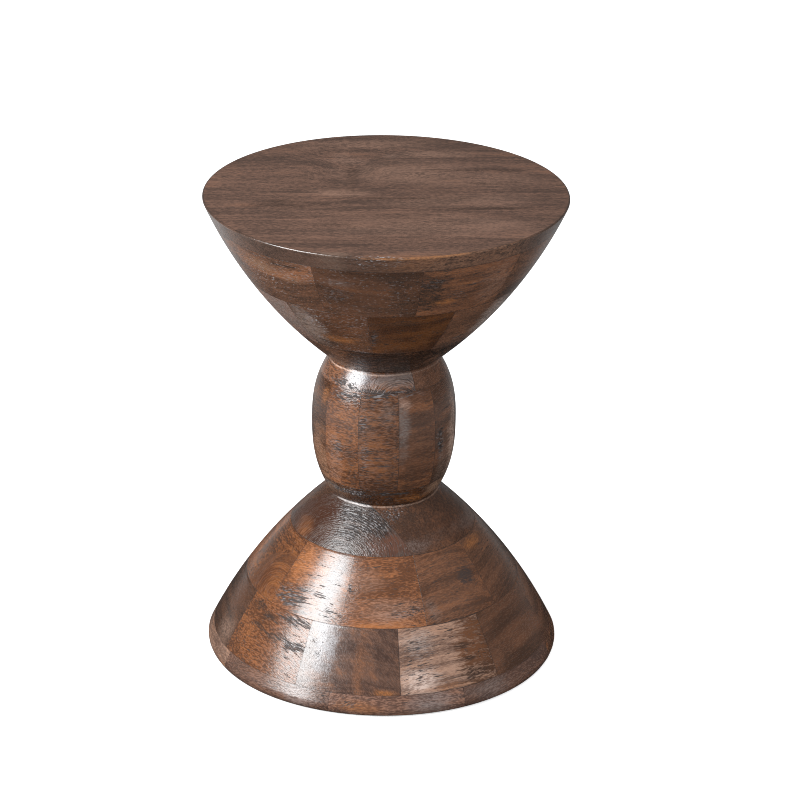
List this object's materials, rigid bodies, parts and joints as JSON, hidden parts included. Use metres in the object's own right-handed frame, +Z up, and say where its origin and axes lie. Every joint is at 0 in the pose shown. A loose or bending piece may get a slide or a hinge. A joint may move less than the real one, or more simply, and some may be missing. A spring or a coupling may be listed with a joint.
{
  "type": "side table",
  "caption": "Round hourglass side table of turned dark wood: a wide cone with a flat top, a small barrel and a wide cone foot, glued up from blocks.",
  "frame": {"origin": "on the floor, under the table's vertical axis", "axes": "+Z up along the table's axis, -Y towards the front, the top's planks run about along X"},
  "size_m": [0.38, 0.38, 0.512],
  "materials": {
    "top_board_wood": "walnut-stained hardwood planks, satin lacquer",
    "top_ring_wood": "walnut-stained hardwood blocks, satin lacquer",
    "neck_wood": "dark stained hardwood, satin lacquer",
    "barrel_wood": "walnut-stained hardwood staves, satin lacquer",
    "base_ring_wood": "walnut-stained hardwood blocks, satin lacquer",
    "foot_wood": "walnut-stained hardwood blocks, satin lacquer",
    "rod_steel": "zinc-plated steel",
    "pad_felt": "dark brown felt"
  },
  "bodies": {
    "root": {"top_board": "top_board_wood", "top_wide_block_01": "top_ring_wood", "top_wide_block_02": "top_ring_wood", "top_wide_block_03": "top_ring_wood", "top_wide_block_04": "top_ring_wood", "top_wide_block_05": "top_ring_wood", "top_wide_block_06": "top_ring_wood", "top_wide_block_07": "top_ring_wood", "top_wide_block_08": "top_ring_wood", "top_wide_block_09": "top_ring_wood", "top_wide_block_10": "top_ring_wood", "top_narrow_block_01": "top_ring_wood", "top_narrow_block_02": "top_ring_wood", "top_narrow_block_03": "top_ring_wood", "top_narrow_block_04": "top_ring_wood", "top_narrow_block_05": "top_ring_wood", "top_narrow_block_06": "top_ring_wood", "top_narrow_block_07": "top_ring_wood", "top_narrow_block_08": "top_ring_wood", "top_narrow_block_09": "top_ring_wood", "top_narrow_block_10": "top_ring_wood", "top_neck_block": "neck_wood", "barrel_top_cap": "barrel_wood", "barrel_stave_01": "barrel_wood", "barrel_stave_02": "barrel_wood", "barrel_stave_03": "barrel_wood", "barrel_stave_04": "barrel_wood", "barrel_stave_05": "barrel_wood", "barrel_stave_06": "barrel_wood", "barrel_stave_07": "barrel_wood", "barrel_stave_08": "barrel_wood", "barrel_stave_09": "barrel_wood", "barrel_stave_10": "barrel_wood", "barrel_stave_11": "barrel_wood", "barrel_bottom_cap": "barrel_wood", "base_neck_block": "neck_wood", "base_narrow_block_01": "base_ring_wood", "base_narrow_block_02": "base_ring_wood", "base_narrow_block_03": "base_ring_wood", "base_narrow_block_04": "base_ring_wood", "base_narrow_block_05": "base_ring_wood", "base_narrow_block_06": "base_ring_wood", "base_narrow_block_07": "base_ring_wood", "base_narrow_block_08": "base_ring_wood", "base_narrow_block_09": "base_ring_wood", "base_narrow_block_10": "base_ring_wood", "base_wide_block_01": "base_ring_wood", "base_wide_block_02": "base_ring_wood", "base_wide_block_03": "base_ring_wood", "base_wide_block_04": "base_ring_wood", "base_wide_block_05": "base_ring_wood", "base_wide_block_06": "base_ring_wood", "base_wide_block_07": "base_ring_wood", "base_wide_block_08": "base_ring_wood", "base_wide_block_09": "base_ring_wood", "base_wide_block_10": "base_ring_wood", "foot_ring": "foot_wood", "tie_rod": "rod_steel", "tie_rod_nuts": "rod_steel", "felt_pads": "pad_felt"}
  },
  "joints": []
}
